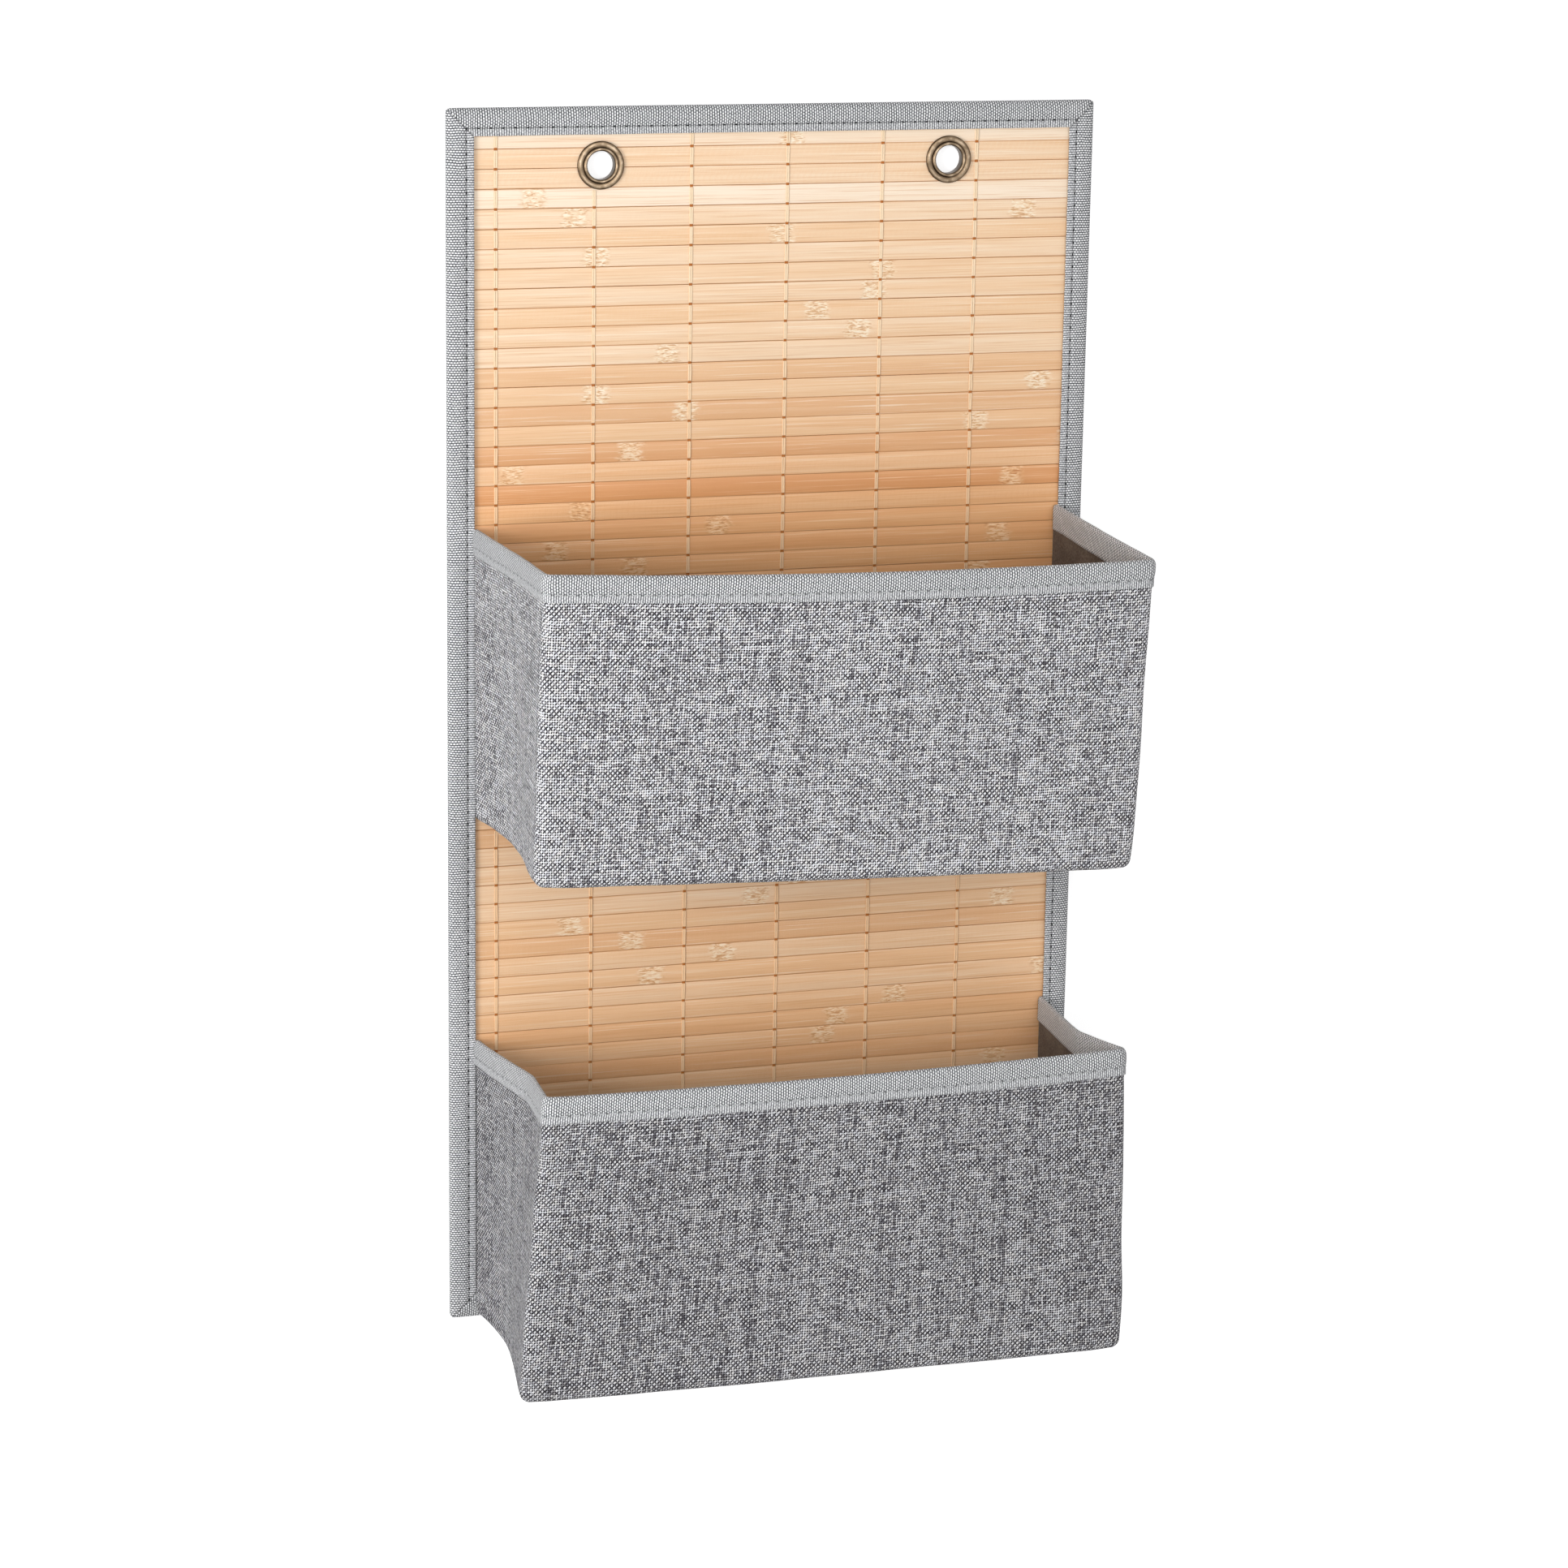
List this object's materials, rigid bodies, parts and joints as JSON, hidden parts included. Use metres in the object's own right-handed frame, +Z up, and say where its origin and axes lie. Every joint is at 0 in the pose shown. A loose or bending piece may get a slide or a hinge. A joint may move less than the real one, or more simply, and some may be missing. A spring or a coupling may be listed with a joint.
{
  "type": "hanging storage organizer",
  "caption": "Wall-hung organizer: a bordered bamboo slat panel with eyelets for hooks and open box pockets of cloth, one above the other, that press flat.",
  "frame": {"origin": "midway between the two eyelets, on the wall plane that the panel's rear lies against", "axes": "+Z up, +Y into the wall, +X to the right as seen from in front"},
  "size_m": [0.35, 0.1332, 0.65],
  "materials": {
    "bamboo": "satin bamboo",
    "backing": "matt non-woven cloth",
    "thread": "matt cotton thread",
    "tape": "ribbed woven tape",
    "brass": "antique brass",
    "cloth": "melange plain weave",
    "lining": "matt non-woven cloth",
    "board": "pressed paper board"
  },
  "bodies": {
    "back_panel": {"bamboo_mat": "bamboo", "backing_cloth": "backing", "warp_thread_1": "thread", "warp_thread_2": "thread", "warp_thread_3": "thread", "warp_thread_4": "thread", "warp_thread_5": "thread", "warp_thread_6": "thread", "border_binding_left": "tape", "border_binding_right": "tape", "border_binding_top": "tape", "border_binding_bottom": "tape", "eyelet_left": "brass", "eyelet_right": "brass", "eyelet_washer_left": "brass", "eyelet_washer_right": "brass", "upper_side_left_cloth": "cloth", "upper_side_left_lining": "lining", "upper_rim_left": "tape", "upper_side_right_cloth": "cloth", "upper_side_right_lining": "lining", "upper_rim_right": "tape", "upper_bottom_cloth": "cloth", "upper_bottom_lining": "lining", "lower_side_left_cloth": "cloth", "lower_side_left_lining": "lining", "lower_rim_left": "tape", "lower_side_right_cloth": "cloth", "lower_side_right_lining": "lining", "lower_rim_right": "tape", "lower_bottom_cloth": "cloth", "lower_bottom_lining": "lining"},
    "upper_front": {"upper_front_cloth": "cloth", "upper_front_board": "board", "upper_front_lining": "lining", "upper_rim_front": "tape"},
    "lower_front": {"lower_front_cloth": "cloth", "lower_front_board": "board", "lower_front_lining": "lining", "lower_rim_front": "tape"}
  },
  "joints": [
    {"name": "upper_pocket_press", "type": "slide", "parent": "back_panel", "child": "upper_front", "axis": [0, 1, 0], "range_m": [0, 0.1145], "deforming": ["upper_side_left_cloth", "upper_side_left_lining", "upper_rim_left", "upper_side_right_cloth", "upper_side_right_lining", "upper_rim_right", "upper_bottom_cloth", "upper_bottom_lining"]},
    {"name": "lower_pocket_press", "type": "slide", "parent": "back_panel", "child": "lower_front", "axis": [0, 1, 0], "range_m": [0, 0.1145], "deforming": ["lower_side_left_cloth", "lower_side_left_lining", "lower_rim_left", "lower_side_right_cloth", "lower_side_right_lining", "lower_rim_right", "lower_bottom_cloth", "lower_bottom_lining"]}
  ]
}
